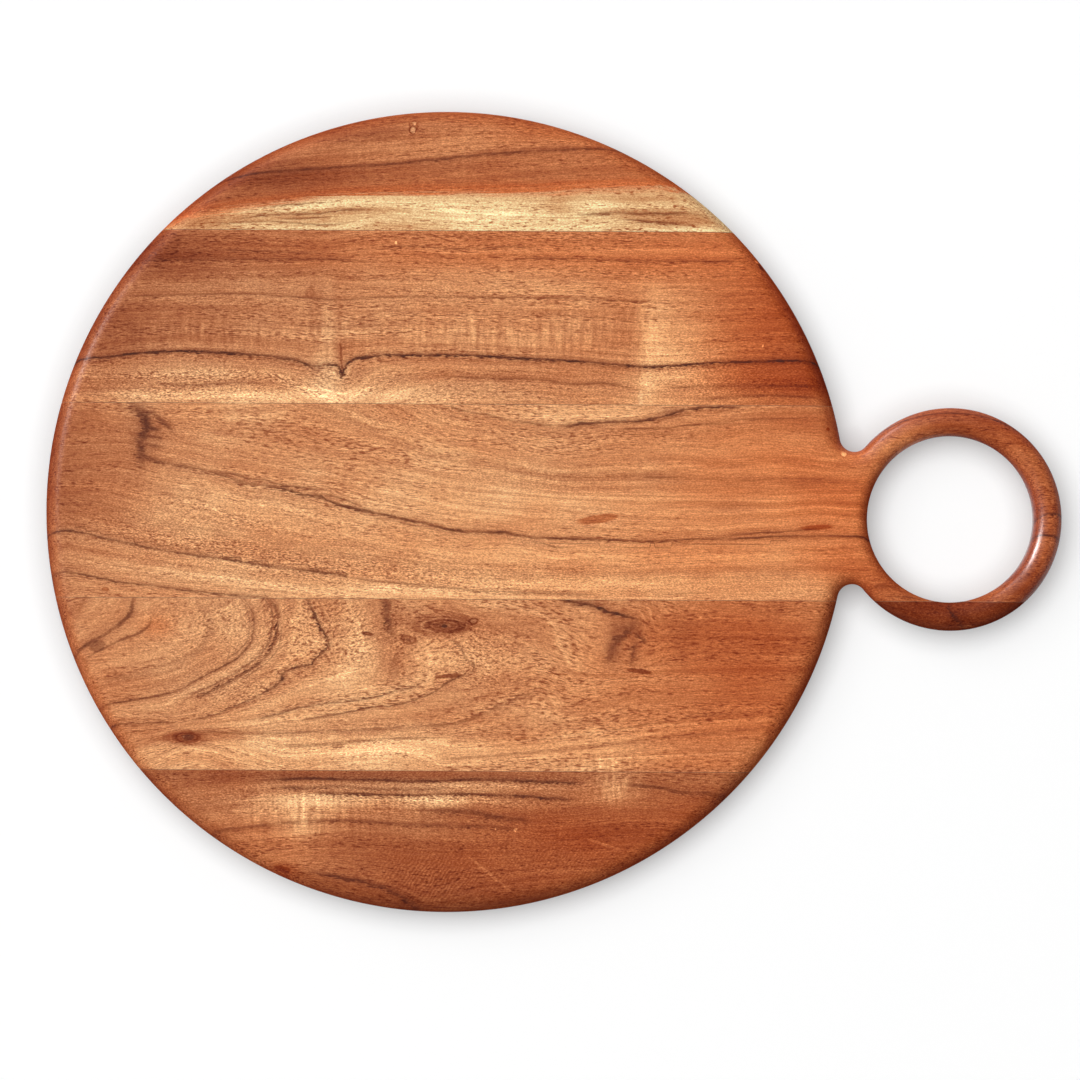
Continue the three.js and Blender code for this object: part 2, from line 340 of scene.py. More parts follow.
MIDDLE_STAVE = {
    "lean": 0.5,
    "pores": 0.9,
    "streaks": [
        (-8, 0.45, 0.9, [(-152, 28), (-148, 26.5), (-138, 23.5), (-130, 21.8), (-120, 20), (-112, 18.2),
            (-104, 16), (-98, 13.8), (-92, 12), (-85, 11.8), (-76, 10)]),
        (-8, 0.75, 0.6, [(-88, 12), (-78, 10.5), (-72, 9), (-66, 7.4), (-60, 7), (-55, 4.7), (-50, 3),
            (-40, 0.6), (-30, -1.5), (-22, -3), (-10, -5.5), (0, -8.2), (10, -9.3), (20, -9.4),
            (28, -9.8), (38, -11.5)]),
        (-8, 0.65, 0.45, [(24, -9.6), (35, -11), (42, -12), (60, -12.5), (78, -13), (90, -13.5),
            (100, -13.4), (120, -12.2), (140, -11.9), (160, -10.8), (180, -10.5), (200, -10.6),
            (215, -10.5)]),
        (-9, 0.3, 0.4, [(-40, -1.2), (-30, -3.4), (-20, -5.4), (-8, -7.8), (2, -9.8), (10, -10.9)]),
        (-6, 0.5, 0.45, [(-112, 19), (-106, 18), (-99, 17), (-93, 15), (-86, 14.4), (-80, 12.5),
            (-70, 11.2), (-60, 10.3), (-54, 9.7)]),
        (-6.5, 0.5, 0.4, [(-60, 8.6), (-55, 7.6), (-48, 5.4), (-42, 3), (-37, 0.8)]),
        (-6, 0.5, 0.4, [(116, -12), (130, -11.3), (138, -10.2), (150, -9.1), (160, -8.7), (170, -7.6),
            (178, -7)]),
        (-36, 0.65, 0.5, [(-196, -10), (-186, -10.2), (-180, -9.6), (-174, -10.5), (-168, -11.8),
            (-163, -13.3), (-150, -15.8), (-137, -18.4), (-120, -21), (-100, -23.6), (-84, -26.2),
            (-66, -28.2), (-52, -30), (-40, -32.2)]),
        (-36, 0.3, 0.5, [(-45, -31.4), (-35, -33), (-20, -34.2), (0, -36), (20, -37.7), (50, -38.5),
            (70, -39)]),
        (-52, 0.65, 0.4, [(-196, -29), (-186, -29.5), (-180, -29.3), (-174, -30.4), (-160, -33.2),
            (-150, -34.8), (-140, -35.6), (-120, -38.3), (-105, -39.8), (-92, -40.6), (-80, -41.4)]),
        (50, 0.35, 0.5, [(-4, 51.5), (10, 47.5), (20, 46), (28, 44), (36, 43), (46, 41.7), (56, 41)]),
        (50, 0.8, 0.5, [(50, 41.3), (58, 41.3), (64, 42.3), (70, 42.5), (80, 43.2), (90, 43.6), (100, 45),
            (106, 47), (112, 48.8), (118, 49.8), (130, 50.3), (142, 50.8)]),
        (45, 0.35, 0.4, [(78, 39.8), (90, 40), (105, 40.5), (115, 42), (132, 43), (140, 44.5),
            (160, 45.2), (175, 46)]),
        (26, 0.12, 2.4, [(-75, 52), (-60, 48), (-45, 43), (-30, 37), (-20, 33), (-12, 29), (0, 26),
            (22, 22.5), (45, 18), (60, 16.5), (100, 17), (145, 15.7), (190, 16)]),
        (26, 0.4, 0.45, [(90, 16.9), (100, 17), (112, 17.4)]),
        (26, 0.25, 0.45, [(132, 15.6), (145, 15.7), (160, 16.8), (184, 16)]),
        (-27, 0.1, 2.2, [(-180, 6), (-160, 1.5), (-143, -3.5), (-128, -8), (-110, -10), (-80, -16),
            (-50, -20), (-15, -25), (10, -28.5), (40, -30), (80, -30.5), (130, -29), (170, -28)]),
        (10, 0, 1, [(-175, 40), (-130, 35), (-90, 28), (-50, 20), (0, 10), (50, 5), (100, 3), (150, 3)]),
        (-11, 0.3, 0.4, [(33, -13), (40, -13.8), (46, -14.6), (52, -16.5), (58, -16.4)]),
        (-36, 0.25, 0.4, [(100, -39), (112, -38.2), (122, -38)]),
        (-8, 0.7, 0.45, [(274, -9.6), (284, -9.4), (290, -10), (300, -10.5)]),
        (1, 0.7, 0.45, [(274, -1), (280, -0.9), (286, 0.6), (292, 1), (300, 1)]),
        (-33, 0.45, 0.5, [(203, -34.4), (208, -34), (214, -34.3)]),
        (-38, 0.5, 0.4, [(212, -39), (219, -38.8), (226, -39)]),
    ],
    "leaning": [
        (3.0, 0.75, 0.7, [(200, 52), (215, 52.1), (240, 52.2), (262, 52.2), (285, 52)]),
        (0.5, 0.7, 1.7, [(-158, 57), (-150.5, 51), (-147, 48.3), (-143.6, 44.5), (-142.3, 40.5),
            (-143.8, 35.5), (-145.5, 31.8), (-144.8, 28), (-145, 24), (-146, 19)]),
        (0.5, 0.6, 0.7, [(-145, 46.8), (-142, 46.5), (-139, 46)]),
        (0.5, 0.6, 0.7, [(-144, 39.8), (-141, 39.2), (-137, 38.4)]),
        (0.5, 0.55, 0.7, [(-144, 36), (-140, 35.2), (-135, 34)]),
        (0.5, 0.5, 0.7, [(-144, 31.6), (-140, 30.8), (-136, 30)]),
        (0.5, 0.45, 0.8, [(-138.3, 45.2), (-136, 43), (-133, 40.6), (-130.5, 38.5)]),
    ],
    "patches": [
        (-165, 22, 22, 24, 0.5, 0.0), (-160, -15, 20, 15, 0.05, 0.0), (245, 44, 40, 12, 0.3, 0.3),
        (-160, 30, 22, 18, 0.15, 0.3), (-144, 38, 5, 10, 0.3, -0.3), (-136, 40, 5, 6, 0.2, 0.0),
        (-165, 5, 20, 10, 0.1, 0.35), (-100, 3, 30, 8, -0.2, -0.15), (-60, 38, 16, 6, 0.25, 0.25),
        (-30, 40, 40, 8, 0.0, 0.1), (-110, -28, 35, 5, -0.25, -0.2), (-20, -38, 60, 3, -0.45, -0.25),
        (-150, -38, 25, 4, 0.2, 0.3), (30, 2, 45, 8, -0.3, -0.1), (20, -24, 50, 6, -0.2, -0.05),
        (75, 47, 30, 4, -0.4, -0.2), (106, 47.5, 5, 2, 0.9, -0.4), (100, 17, 8, 1.5, 0.5, -0.2),
        (136, 3, 8, 3, 0.35, -0.3), (150, 25, 35, 18, -0.1, 0.75), (185, 5, 18, 22, 0.05, 0.8),
        (130, -20, 40, 4, -0.05, 0.2), (80, -35, 80, 4, -0.5, -0.25), (165, 45, 15, 5, 0.25, 0.5),
        (240, 44, 30, 8, 0.7, 0.9), (282, 0, 16, 40, 0.62, 1.45), (205, -10, 14, 30, 0.15, 0.7),
        (210, -33, 14, 8, 0.1, 0.4), (100, -22, 60, 3, -0.15, 0.0), (-70, -16, 30, 3, 0.1, 0.2),
        (190, -26, 12, 6, 0.3, 0.5), (60, 18, 20, 5, 0.1, 0.1), (-186, 25, 10, 32, 0.6, 0.0),
        (20, 33, 40, 12, -0.15, 0.0), (-70, -12, 40, 10, -0.2, 0.0), (-155, -14, 25, 8, -0.12, 0.0),
        (145, -5, 50, 32, 0.0, 0.6), (-186, -28, 10, 12, 0.3, 0.0), (278, -34, 9, 8, 1.2, 0.5),
        (258, -39.5, 9, 2.5, 0.9, 0.4), (262, 38, 12, 6, 0.3, 0.3), (207, -34, 9, 5, 0.6, 0.4),
        (218, -40, 8, 3, 0.5, 0.3), (100, -30, 55, 18, -0.02, 0.3), (10, -25, 45, 18, -0.1, 0.1),
        # The last patch of the next row lightens the ring's upper left, where the lamp falls on it: a
        # painted pool of light.
        (-140, 0, 30, 20, -0.1, -0.12), (0, 35, 40, 15, -0.12, 0.0), (221, 37, 9, 7, -0.6, -0.1),
    ],
    "polished": [(278, -12, 11, 22, 1.2), (211, 37, 15, 9, 0.75), (240, 46, 20, 6, 0.4)],
    "figures": [(40, 15, 40, 6, 0.25), (-110, 0, 30, 8, 0.2)],
    "dots": [
        (-125, -5, 35, 10, 1.0), (-100, -22, 50, 10, 0.7), (-20, -28, 60, 6, 0.6), (100, -34, 80, 5, 0.7),
        (40, 15, 25, 6, 0.6), (-30, 45, 30, 6, 0.6), (-130, 32, 20, 10, 0.5),
    ],
    "silky": [(160, 8, 50, 40, 0.75), (30, 0, 30, 14, 0.6)],
    "spots": [
        (72, -3, 10, 2.1, 9, 0.8, 0.9, 0.05), (176, -6.5, 7.5, 1.3, 4, 0.9, 1.0, 0.0),
        (181, 40.3, 1.0, 0.9, 0, 1.1, 1.2, 0.0), (188.6, 28.6, 1.6, 1.2, -40, -1.2, -0.8, 0.0),
        (-161.5, -37.5, 1.8, 1.0, 0, 0.8, 0.6, 0.0),
    ],
}

LOWER_STAVE = {
    "lean": 0.5,
    "pores": 1.0,
    "streaks": [
        (-50, 0.6, 0.8, [(-147.5, -39), (-148.5, -44), (-150, -49), (-154, -53.5), (-159, -57),
            (-165, -61), (-171, -64.5), (-178, -69)]),
        (-53, 0.45, 0.45, [(-140, -49), (-140.5, -54), (-146, -58.5), (-155, -62), (-163, -66),
            (-172, -71)]),
        (-60, 0.2, 1.6, [(-119, -40), (-115, -47), (-112, -53), (-112, -58), (-116, -64), (-124, -70),
            (-140, -76), (-165, -82)]),
        (-70, 0.35, 0.3, [(-99, -39), (-95.5, -44.5), (-93, -51), (-93.3, -58), (-95, -63), (-101, -68.7),
            (-108, -72.5)]),
        (-72, 0.6, 0.4, [(-97, -39), (-93, -46), (-91, -51), (-91.5, -58), (-93, -63.5), (-99, -70),
            (-106, -74), (-119, -81), (-126, -85), (-134, -87.5), (-150, -90.5), (-168, -93)]),
        (-77, 0.45, 0.4, [(-88, -39), (-83.5, -45.5), (-82.2, -50), (-82.7, -57), (-84.2, -63),
            (-89, -69), (-94, -73), (-101, -77.5), (-114, -84.5), (-126, -89)]),
        (-79, 0.6, 0.55, [(-86, -39), (-81.3, -45.5), (-79.8, -50), (-80.2, -57), (-81.7, -63),
            (-86, -69.4), (-91, -74), (-98, -78.5), (-112, -86), (-122, -90)]),
        (-82, 0.3, 0.35, [(-79, -52), (-78, -58), (-80, -66), (-85, -72), (-92, -77), (-100, -82)]),
        (-86, 0.95, 0.5, [(-67, -39), (-64, -46), (-61.5, -51), (-59, -56), (-56.5, -60), (-55.7, -63.5),
            (-58, -66.5), (-61, -69), (-63.5, -72), (-69, -73.8), (-75, -75.5), (-78, -77.2),
            (-76.5, -79.2), (-79, -81.5), (-84, -85), (-90, -88.5)]),
        (-86, 0.5, 0.4, [(-84, -85), (-90, -88.5), (-98, -92), (-106, -95.5), (-114, -98),
            (-122, -99.3)]),
        (-86, 0.6, 0.4, [(-128, -100.2), (-136, -100.6), (-146, -101), (-158, -101.3), (-168, -102)]),
        (-95, 0.55, 1.5, [(-29.5, -38), (-28, -46), (-27.7, -52), (-25.8, -58), (-23.5, -62)]),
        (-95, 0.25, 1.6, [(-23, -66), (-24.5, -72), (-24.5, -79)]),
        (-98, 0.6, 0.4, [(-10, -80), (-14, -83), (-23, -84.6), (-30, -87), (-38, -89), (-50, -90.5),
            (-60, -91.8), (-70, -93.5), (-80, -96.5), (-92, -99.5)]),
        (-102, 0.6, 0.4, [(13, -75.5), (5, -79), (0, -81.5), (-5, -85.5), (-10, -87.5), (-22, -91.5),
            (-35, -93), (-50, -96), (-70, -99.5)]),
        (-100, 0.5, 0.5, [(2, -60.5), (6, -63), (8.5, -66.5), (9.5, -70), (13, -72), (13.5, -75),
            (9, -77.6)]),
        (-106, 0.3, 0.8, [(45, -84), (30, -90), (20, -95), (12, -98), (3, -100.5), (-10, -101.5),
            (-30, -103), (-60, -105)]),
        (-108, 0.3, 0.45, [(-56, -104.4), (-75, -105.4), (-95, -105.6), (-112, -105), (-125, -104.8)]),
        (-112, 0.25, 0.6, [(0, -107.5), (-20, -107.5), (-40, -109), (-62, -111), (-80, -111.5)]),
        (-116, 0.15, 0.6, [(150, -102), (120, -105), (90, -108.5), (60, -112), (30, -115), (0, -117)]),
        (-112, 0.15, 0.6, [(150, -93), (120, -96.5), (105, -98.5), (80, -103), (50, -107), (30, -109.5)]),
        (-78, 0, 1, [(100, -52), (120, -54), (150, -55), (185, -55)]),
        (-95, 0, 1, [(60, -80), (90, -78), (120, -77), (150, -76), (180, -76)]),
        (-119, 0, 0.6, [(150, -113), (120, -114), (100, -115), (80, -117), (40, -119.5), (0, -121)]),
        (-84, 1.0, 0.7, [(52, -40.5), (60, -42.4), (68, -43.6), (73, -45.5), (78, -47.5), (85, -48.7),
            (90, -50.2), (91.5, -52)]),
        (-84, 0.5, 1.4, [(91, -51), (88, -54.5), (84, -58), (80.5, -61), (79, -65), (77.5, -69),
            (75, -72.5)]),
        (-82, 0.5, 0.9, [(91.5, -58), (94, -60.5)]),
        (-82, 0.4, 0.9, [(90.5, -62), (88.5, -66), (88.5, -72)]),
        (-112, 0.3, 0.4, [(112, -95.5), (125, -95.2), (136, -95.2), (146, -94.8)]),
        (-97, 0, 1, [(18, -66), (30, -68), (45, -72)]),
        (-92, 0, 1, [(14, -49), (28, -49.5), (45, -52)]),
    ],
    "patches": [
        (-100, -52, 6, 10, -0.25, -0.15), (-70, -60, 8, 14, -0.1, 0.0), (-45, -70, 10, 12, -0.35, -0.15),
        (-2, -69, 8, 6, -0.5, -0.2), (-45, -84, 20, 5, -0.3, -0.1), (-40, -113, 70, 8, -0.55, -0.2),
        (-30, -114, 12, 4, -0.15, -0.1), (45, -93, 8, 6, -0.3, -0.15), (75, -121, 12, 3, -0.6, -0.3),
        (150, -60, 32, 20, 0.5, 1.4), (150, -100, 32, 16, 0.2, 1.1), (110, -60, 15, 12, 0.2, 0.4),
        (-165, -85, 12, 14, 0.1, 0.4), (-165, -50, 12, 8, 0.2, 0.3), (0, -53, 18, 5, 0.35, 0.1),
        (40, -52, 30, 8, 0.2, 0.15), (80, -63, 2.6, 7, 0.9, -0.5), (86, -54, 5, 2.4, 0.9, -0.5),
        (90, -63, 2, 6, 0.5, -0.3), (-27, -46, 4, 6, 0.35, 0.1), (-24, -70, 4, 8, 0.35, 0.2),
        (-125, -107, 16, 4, 0.45, 0.4), (-140, -103, 14, 5, 0.2, 0.3), (30, -107, 16, 3, 0.3, 0.3),
        (65, -42.5, 8, 1.6, 0.7, -0.3), (-130, -62, 14, 8, 0.0, 0.15), (-137, -55, 6, 4, 0.0, 0.8),
        (112, -55, 5, 4, 0.4, -0.1), (112, -68, 3, 4, 0.35, -0.1), (10, -98, 20, 3, 0.2, 0.35),
        (-85, -50, 4, 9, 0.2, 0.1), (120, -119, 30, 3, 0.1, 0.3), (-120, -117, 20, 3, -0.1, 0.3),
        (-90, -95, 20, 5, -0.2, 0.0), (-182, -52, 8, 18, 0.4, 0.1), (150, -70, 30, 25, 0.25, 0.3),
        (85, -70, 25, 20, 0.08, 0.4), (95, -110, 35, 10, 0.0, 0.35), (0, -76, 30, 10, 0.1, 0.1),
        (-85, -60, 25, 14, -0.1, 0.0), (0, -82, 40, 25, -0.03, 0.12), (0, -110, 50, 9, -0.18, 0.05),
        (90, -80, 40, 30, -0.05, 0.12), (-85, -80, 35, 22, -0.1, -0.08),
    ],
    "figures": [
        (-65, -112, 40, 7, 0.25), (75, -120, 14, 4, 1.0), (45, -92, 10, 8, 0.7), (-50, -80, 20, 10, 0.4),
    ],
    "dots": [
        (-95, -55, 30, 16, 1.0), (-40, -60, 20, 14, 1.0), (15, -68, 14, 14, 0.9), (-105, -85, 20, 8, 0.8),
        (-40, -112, 40, 8, 0.7),
    ],
    "silky": [(160, -70, 50, 50, 0.3), (-150, -70, 30, 30, 0.3)],
    "eyes": [
        (-2, -53.6, 15, 5.2, 2, 0.5, 0.2, 0.0, 0.0), (-2, -53.8, 12.4, 4.0, 2, 0.8, 0.22, 0.1, -0.1),
        (-0.5, -54, 8.2, 2.8, -2, 1.3, 0.3, 0.7, 0.1), (-0.5, -54.1, 4.4, 1.5, -2, 0.8, 0.35, 0.1, -0.2),
        (13.2, -51.8, 1.9, 1.3, 10, 1.4, 0.4, -0.2, -0.4),
        (-17.6, -60.8, 3.6, 1.9, -10, 1.1, 0.3, 0.3, -0.2),
        (-123, -107.8, 9.5, 3.4, -2, 0.4, 0.25, 0.2, 0.2),
        (-122.6, -107.7, 5.8, 2.4, 0, 1.1, 0.3, 0.9, 0.2),
    ],
    "spots": [
        (-0.6, -54.1, 1.3, 0.9, 0, 1.4, 0.0, 0.7), (-17.6, -60.8, 1.4, 0.7, -10, 0.7, 0.0, 0.2),
        (0.5, -54.2, 8.5, 2.7, -2, 0.0, 0.2, 0.12), (-17.6, -60.8, 3.4, 1.7, -10, 0.3, 0.3, 0.1),
        (-37, -58.1, 3.0, 0.9, -8, 1.7, 0.4, 0.3), (-118, -107.5, 22, 2.2, 2, 0.35, 0.2, 0.05),
        (-122, -107.6, 3.0, 1.6, 0, 0.5, 0.0, 0.5), (-124, -107.4, 0.6, 0.5, 0, -1.6, -0.4, 0.0),
        (105, -115.5, 45, 0.7, 3, -0.45, -0.1, 0.0), (88, -103, 60, 0.7, 6, -0.4, -0.1, 0.0),
        (1.5, -77.9, 6.5, 1.1, 5, 1.5, 0.3, 0.2), (54, -76.8, 4.5, 0.5, -4, 0.7, 0.6, 0.1),
        (92, -75.1, 6, 1.2, -6, 1.5, 0.5, 0.2), (-51, -111.5, 3, 1.0, 0, 0.8, 0.2, 0.2),
        (36, -107.4, 3.5, 1.0, 5, 0.6, 0.3, 0.1), (-165, -64.5, 4, 2.4, 20, 0.6, 0.0, 0.3),
    ],
}

BOTTOM_STAVE = {
    "lean": 0.5,
    "pores": 0.9,
    "streaks": [
        (-127, 0.75, 0.6, [(-88, -128), (-70, -127), (-50, -127.2), (-30, -127.6), (-10, -128),
            (10, -127.2), (25, -127), (40, -127.8), (66, -128.4)]),
        (-131, 0.6, 0.6, [(-84, -131), (-65, -131.5), (-55, -130.8), (-45, -131), (-30, -132),
            (4, -131.5)]),
        (-134, 0.85, 0.6, [(-64, -133.6), (-50, -134), (-20, -134.5), (0, -134), (20, -134.2), (40, -135),
            (62, -136.4)]),
        (-142, 0.45, 1.0, [(-14, -142), (5, -142), (15, -143), (25, -145), (42, -146.7)]),
        (-149, 0.35, 0.7, [(-118, -153), (-100, -151), (-80, -148.5), (-60, -147), (-40, -147),
            (-20, -148.5), (20, -149.5), (38, -151)]),
        (-175, 0.6, 0.9, [(-66, -171), (-60, -172), (-48, -174.3), (-40, -175.5), (-32, -178),
            (-25, -180.5), (-17, -184.5), (-10, -188)]),
        (-131, 0.45, 0.8, [(84, -128.6), (97, -130), (105, -131), (112, -132.5), (125, -133),
            (142, -133.6)]),
        (-160, 0, 1, [(-90, -163), (-60, -160), (0, -161), (60, -161), (110, -158)]),
    ],
    "patches": [
        (-40, -125, 90, 2.5, 0.8, 0.0), (-110, -130, 20, 6, 0.35, 0.25), (-72, -142, 18, 8, -0.85, -0.3),
        (-66, -151, 6, 5, -0.45, -0.2), (-45, -137, 40, 2, -0.8, -0.4), (0, -137, 12, 2.5, -0.8, -0.4),
        (0, -130, 35, 2, -0.75, -0.4), (83, -128, 8, 5, -0.9, -0.45), (83, -136, 8, 3, -0.5, -0.3),
        (75, -155, 45, 12, 0.25, 1.2), (0, -172, 50, 10, 0.45, 0.7), (-80, -160, 17, 9, -0.4, 0.3),
        (-30, -160, 26, 12, 0.15, 0.1), (120, -140, 20, 8, 0.2, 0.6), (20, -143, 25, 3, 0.25, 0.0),
        (-100, -150, 20, 6, -0.05, 0.2), (-77, -170, 5, 2, 0.5, 0.9), (40, -150, 20, 5, 0.1, 0.2),
        (15, -160, 40, 5, 0.15, 0.1), (80, -150, 25, 10, 0.35, 0.1), (0, -184, 60, 6, 0.65, 0.0),
        (0, -174, 40, 8, 0.12, 0.0), (-100, -155, 30, 8, 0.15, 0.1), (5, -135, 40, 8, -0.15, 0.0),
        (0, -160, 45, 10, -0.12, -0.12),
    ],
    "figures": [
        (-68, -142, 20, 10, 0.9), (82, -130, 9, 7, 1.0), (-15, -137, 25, 3, 0.8), (0, -150, 60, 10, 0.3),
    ],
    "dots": [(30, -160, 50, 14, 0.6), (-20, -132, 90, 9, 1.0)],
    "curls": [(-6, -174, 16, 9, 1.0), (60, -166, 18, 8, 0.5)],
    "spots": [
        (21, -171.3, 13, 0.8, -39, -0.6, -0.1, 0.0), (75.5, -157.5, 8.5, 0.7, -18, -0.6, -0.1, 0.0),
        (-77, -170, 4, 1.6, -15, 0.9, 0.6, 0.1), (24.2, -150.4, 0.4, 0.7, 0, -1.6, 0.0, 0.0),
        (33.8, -150.8, 0.6, 1.1, -15, -1.6, 0.0, 0.0),
    ],
}

RING_LIP = {
    "lean": 0.3,
    "pores": 0.8,
    "streaks": [
        (-48, 0, 1, [(200, -48), (240, -47), (280, -48)]),
        (-50, 0.6, 0.6, [(239.5, -40), (239, -45), (241, -48), (244, -51), (248, -56)]),
    ],
    "patches": [(225, -45, 10, 4, 0.1, 0.2), (266, -44, 6, 5, 0.3, 0.0)],
    "dots": [(240, -48, 30, 8, 0.8)],
    "spots": [(247, -53.2, 4, 0.7, 4, -0.9, -0.4, 0.0)],
}

# Each stave's look, the films of glue below and above it, and its own tone and redness
STAVES = {
    "top_stave": (TOP_STAVE, "glue_film_top", None, 0.34, 0.58),
    "upper_stave": (UPPER_STAVE, "glue_film_upper", "glue_film_top", -0.04, 0.22),
    "middle_stave_with_ring": (MIDDLE_STAVE, "glue_film_lower", "glue_film_upper", 0.0, 0.2),
    "lower_stave": (LOWER_STAVE, "glue_film_bottom", "glue_film_lower", 0.0, 0.1),
    "bottom_stave": (BOTTOM_STAVE, None, "glue_film_bottom", 0.6, 0.35),
    "ring_lip": (RING_LIP, None, "glue_film_lip_inner", 2.25, 0.9),
}


# The shape of the board
def arc(centre, radius, start, end, edge_start, edge_end):
    """Points along an arc without its last, directions out of the wood on its left, and round-overs."""
    step = min(OUTLINE_STEP / radius, OUTLINE_TURN)
    share = np.linspace(0, 1, math.ceil(abs(end - start) / step), endpoint=False)
    angle = start + share * (end - start)
    ray = np.column_stack([np.cos(angle), np.sin(angle)])
    edge = edge_start + (edge_end - edge_start) * share ** 2 * (3 - 2 * share)
    return np.asarray(centre) + radius * ray, math.copysign(1, end - start) * ray, edge


def board_outline():
    """The outer loop: the round board, a throat, the ring and the other throat."""
    at_board = math.atan2(THROAT_RISE, THROAT_REACH)
    at_ring = math.atan2(THROAT_RISE, THROAT_TO_RING)
    low_throat = (THROAT_REACH, -THROAT_RISE)
    high_throat = (THROAT_REACH, THROAT_RISE)
    arcs = [
        arc((0, 0), BOARD_RADIUS, at_board, 2 * math.pi - at_board, BOARD_EDGE, BOARD_EDGE),
        arc(low_throat, THROAT_RADIUS, math.pi - at_board, at_ring, BOARD_EDGE, RING_EDGE),
        arc((RING_REACH, 0), RING_RADIUS, at_ring - math.pi, math.pi - at_ring, RING_EDGE, RING_EDGE),
        arc(high_throat, THROAT_RADIUS, -at_ring, at_board - math.pi, RING_EDGE, BOARD_EDGE),
    ]
    cos = math.cos(NECK_TILT)
    sin = math.sin(NECK_TILT)
    turn = np.array([[cos, sin], [-sin, cos]])
    place, out, edge = [np.concatenate(part) for part in zip(*arcs)]
    return place @ turn, out @ turn, edge


def hole_outline():
    """The inner loop, round the finger hole."""
    return arc(RING_CENTRE, HOLE_RADIUS, 2 * math.pi, 0, RING_EDGE, RING_EDGE)


def rim_layers():
    """The rim's layers from the underside up: the round-over's share in the inset, and in the height the
    shares of the board's thickness and of the round-over."""
    turn = np.linspace(0, math.pi / 2, EDGE_STEPS + 1)
    inset = 1 - np.sin(turn)
    rise = 1 - np.cos(turn)
    wall = np.linspace(0, 1, WALL_STEPS + 1)[1:-1]
    lower = np.column_stack([inset, np.zeros(len(turn)), rise])
    middle = np.column_stack([np.zeros(len(wall)), wall, 1 - 2 * wall])
    upper = np.column_stack([inset, np.ones(len(turn)), -rise])[::-1]
    return np.concatenate([lower, middle, upper])


def inside(points, loops):
    """Which points lie inside the loops, by counting the edges to their right."""
    crossings = np.zeros(len(points), int)
    for loop in loops:
        for (x0, y0), (x1, y1) in zip(loop, np.roll(loop, -1, axis=0)):
            spans = (points[:, 1] < y0) != (points[:, 1] < y1)
            height = y1 - y0 if y1 != y0 else 1.0
            crossings += spans & (points[:, 0] < x0 + (points[:, 1] - y0) / height * (x1 - x0))
    return crossings % 2 == 1


def lattice_inside(loops, step):
    """Points of a lattice of triangles within the loops, clear of their edges."""
    low = np.min(loops[0], axis=0)
    high = np.max(loops[0], axis=0)
    edge = np.concatenate(loops)
    rows = []
    for number, y in enumerate(np.arange(low[1], high[1], step * math.sqrt(3) / 2)):
        x = np.arange(low[0] + step / 2 * (number % 2), high[0], step)
        row = np.column_stack([x, np.full(len(x), y)])
        row = row[inside(row, loops)]
        if len(row):
            nearest = np.sqrt(((row[:, None] - edge[None]) ** 2).sum(axis=2)).min(axis=1)
            rows.append(row[nearest > LATTICE_CLEARANCE * step])
    return np.concatenate(rows)


def cap(loops, step):
    """A flat cap within the loops: its points, those of the loops first, and its triangles."""
    points = np.concatenate(loops + [lattice_inside(loops, step)])
    edges = []
    start = 0
    for loop in loops:
        count = len(loop)
        edges += [(start + i, start + (i + 1) % count) for i in range(count)]
        start += count
    within_hull = 0
    found = delaunay_2d_cdt([Vector(p) for p in points], edges, [], within_hull, SAME_POINT)
    _, _, corners, sources, _, _ = found
    origin = np.array([source[0] for source in sources])
    triangles = origin[np.array(corners)]
    return points, triangles[inside(points[triangles].mean(axis=1), loops)].tolist()


def whole_board():
    """The board in one, as points in millimetres and faces."""
    outlines = [board_outline(), hole_outline()]
    layers = rim_layers()
    points = []
    faces = []
    count = 0
    rims = []
    for place, out, edge in outlines:
        size = len(place)
        for inset, level, rise in layers:
            ring = place - (inset * edge)[:, None] * out
            points.append(np.column_stack([ring, level * THICKNESS + rise * edge]))
        for level in range(len(layers) - 1):
            low = count + level * size
            for i in range(size):
                after = (i + 1) % size
                faces.append([low + i, low + after, low + size + after, low + size + i])
        rims.append((count, count + (len(layers) - 1) * size, size))
        count += len(layers) * size
    loops = [place - edge[:, None] * out for place, out, edge in outlines]
    on_rims = sum(size for _, _, size in rims)
    for at_top, step in ((False, UNDERSIDE_LATTICE), (True, TOP_LATTICE)):
        flat, triangles = cap(loops, step)
        numbers = []
        for low, high, size in rims:
            first = high if at_top else low
            numbers += range(first, first + size)
        numbers += range(count, count + len(flat) - on_rims)
        added = flat[on_rims:]
        points.append(np.column_stack([added, np.full(len(added), THICKNESS if at_top else 0.0)]))
        count += len(added)
        for triangle in triangles:
            corners = [numbers[i] for i in triangle]
            faces.append(corners if at_top else corners[::-1])
    return np.concatenate(points), faces


def cut(mesh, point, normal):
    """Cuts away what lies on the normal's side of a plane, and closes the cut with a sharp edge."""
    geometry = list(mesh.verts) + list(mesh.edges) + list(mesh.faces)
    bmesh.ops.bisect_plane(
        mesh, geom=geometry, plane_co=point, plane_no=normal, clear_outer=True, dist=SAME_PLANE)
    open_edges = [edge for edge in mesh.edges if edge.is_boundary]
    bmesh.ops.holes_fill(mesh, edges=open_edges, sides=0)
    for edge in open_edges:
        edge.smooth = False


def add_to_scene(name, data):
    """A new object of the scene."""
    made = bpy.data.objects.new(name, data)
    bpy.context.scene.collection.objects.link(made)
    return made


